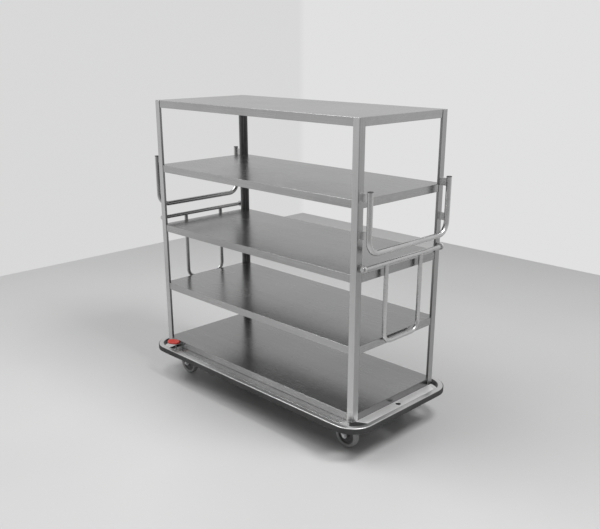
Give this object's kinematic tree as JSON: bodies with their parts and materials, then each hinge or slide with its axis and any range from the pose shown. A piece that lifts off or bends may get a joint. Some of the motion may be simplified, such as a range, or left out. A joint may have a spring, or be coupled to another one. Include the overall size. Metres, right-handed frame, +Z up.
{
  "type": "five-tier shelf luggage cart",
  "caption": "Stainless shelf trolley for luggage: corner posts, flat shelves, bumper ring base on swivel castors, push handles, swing hoops and a red foot brake.",
  "frame": {"origin": "on the floor under the middle of the trolley", "axes": "+Z up, +X along the length towards the right end, +Y towards the back; the brake pedal is at the front left corner"},
  "size_m": [1.554, 0.75, 1.524],
  "materials": {
    "stainless_sheet": "satin brushed stainless sheet",
    "stainless_tube": "satin polished stainless tube",
    "frame_steel": "plain stainless section",
    "zinc_steel": "bright zinc plate",
    "brake_steel": "satin",
    "bumper_rubber": "matt",
    "cap_plastic": "matt",
    "red_plastic": "semi-gloss",
    "wheel_plastic": "smooth moulded",
    "grey_tyre": "matt non-marking rubber"
  },
  "bodies": {
    "rack": {"base_rails": "frame_steel", "base_ring": "stainless_sheet", "bolster_left": "frame_steel", "bolster_right": "frame_steel", "bumper": "bumper_rubber", "castor_bolts": "zinc_steel", "castor_plate_bl": "zinc_steel", "castor_plate_br": "zinc_steel", "castor_plate_fl": "zinc_steel", "castor_plate_fr": "zinc_steel", "deck_plate_back": "stainless_sheet", "deck_plate_front": "stainless_sheet", "deck_plate_left": "stainless_sheet", "deck_plate_right": "stainless_sheet", "handle_brackets": "stainless_sheet", "handle_caps": "cap_plastic", "kingpins": "zinc_steel", "post_back_left": "stainless_sheet", "post_back_right": "stainless_sheet", "post_front_left": "stainless_sheet", "post_front_right": "stainless_sheet", "push_handle_left": "stainless_tube", "push_handle_right": "stainless_tube", "rod_lugs": "stainless_sheet", "shaft_bearings": "brake_steel", "shelf_2": "stainless_sheet", "shelf_3": "stainless_sheet", "shelf_4": "stainless_sheet", "shelf_stiffeners": "stainless_sheet", "shelf_top": "stainless_sheet", "tray_bottom": "stainless_sheet"},
    "castor_fl": {"fork_fl": "zinc_steel", "axle_fl": "zinc_steel"},
    "wheel_fl": {"wheel_centre_fl": "wheel_plastic", "tyre_fl": "grey_tyre"},
    "castor_fr": {"fork_fr": "zinc_steel", "axle_fr": "zinc_steel"},
    "wheel_fr": {"wheel_centre_fr": "wheel_plastic", "tyre_fr": "grey_tyre"},
    "castor_bl": {"fork_bl": "zinc_steel", "axle_bl": "zinc_steel"},
    "wheel_bl": {"wheel_centre_bl": "wheel_plastic", "tyre_bl": "grey_tyre"},
    "castor_br": {"fork_br": "zinc_steel", "axle_br": "zinc_steel"},
    "wheel_br": {"wheel_centre_br": "wheel_plastic", "tyre_br": "grey_tyre"},
    "hoop_left": {"hinge_rod_left": "stainless_tube", "swing_hoop_left": "stainless_tube"},
    "hoop_right": {"hinge_rod_right": "stainless_tube", "swing_hoop_right": "stainless_tube"},
    "brake_pedal": {"pedal_pad": "red_plastic", "pedal_lever": "brake_steel", "brake_shaft": "brake_steel", "brake_fingers": "brake_steel"},
    "plunger_fl": {"brake_plunger_fl": "brake_steel"},
    "plunger_bl": {"brake_plunger_bl": "brake_steel"}
  },
  "joints": [
    {"name": "swivel_fl", "type": "hinge", "parent": "rack", "child": "castor_fl", "pos_m": [-0.569, -0.228, 0.15], "axis": [0, 0, 1], "continuous": true},
    {"name": "roll_fl", "type": "hinge", "parent": "castor_fl", "child": "wheel_fl", "pos_m": [-0.607, -0.228, 0.0625], "axis": [0, 1, 0], "continuous": true},
    {"name": "swivel_fr", "type": "hinge", "parent": "rack", "child": "castor_fr", "pos_m": [0.569, -0.228, 0.15], "axis": [0, 0, 1], "continuous": true},
    {"name": "roll_fr", "type": "hinge", "parent": "castor_fr", "child": "wheel_fr", "pos_m": [0.607, -0.228, 0.0625], "axis": [0, 1, 0], "continuous": true},
    {"name": "swivel_bl", "type": "hinge", "parent": "rack", "child": "castor_bl", "pos_m": [-0.569, 0.228, 0.15], "axis": [0, 0, 1], "continuous": true},
    {"name": "roll_bl", "type": "hinge", "parent": "castor_bl", "child": "wheel_bl", "pos_m": [-0.607, 0.228, 0.0625], "axis": [0, 1, 0], "continuous": true},
    {"name": "swivel_br", "type": "hinge", "parent": "rack", "child": "castor_br", "pos_m": [0.569, 0.228, 0.15], "axis": [0, 0, 1], "continuous": true},
    {"name": "roll_br", "type": "hinge", "parent": "castor_br", "child": "wheel_br", "pos_m": [0.531, 0.228, 0.0625], "axis": [0, 1, 0], "continuous": true},
    {"name": "swing_left", "type": "hinge", "parent": "rack", "child": "hoop_left", "pos_m": [-0.72, 0, 0.899], "axis": [0, 1, 0], "range_deg": [-1.5, 140]},
    {"name": "swing_right", "type": "hinge", "parent": "rack", "child": "hoop_right", "pos_m": [0.72, 0, 0.899], "axis": [0, -1, 0], "range_deg": [-1.5, 140]},
    {"name": "pedal_press", "type": "hinge", "parent": "rack", "child": "brake_pedal", "pos_m": [-0.556, -0.327, 0.172], "axis": [0, -1, 0], "range_deg": [0, 18]},
    {"name": "plunge_fl", "type": "slide", "parent": "rack", "child": "plunger_fl", "axis": [0, 0, -1], "range_m": [0, 0.0042]},
    {"name": "plunge_bl", "type": "slide", "parent": "rack", "child": "plunger_bl", "axis": [0, 0, -1], "range_m": [0, 0.0042]}
  ],
  "couplings": [
    {"joint": "plunge_fl", "follows": "pedal_press", "m_per_rad": 0.012946},
    {"joint": "plunge_bl", "follows": "pedal_press", "m_per_rad": 0.012946}
  ]
}
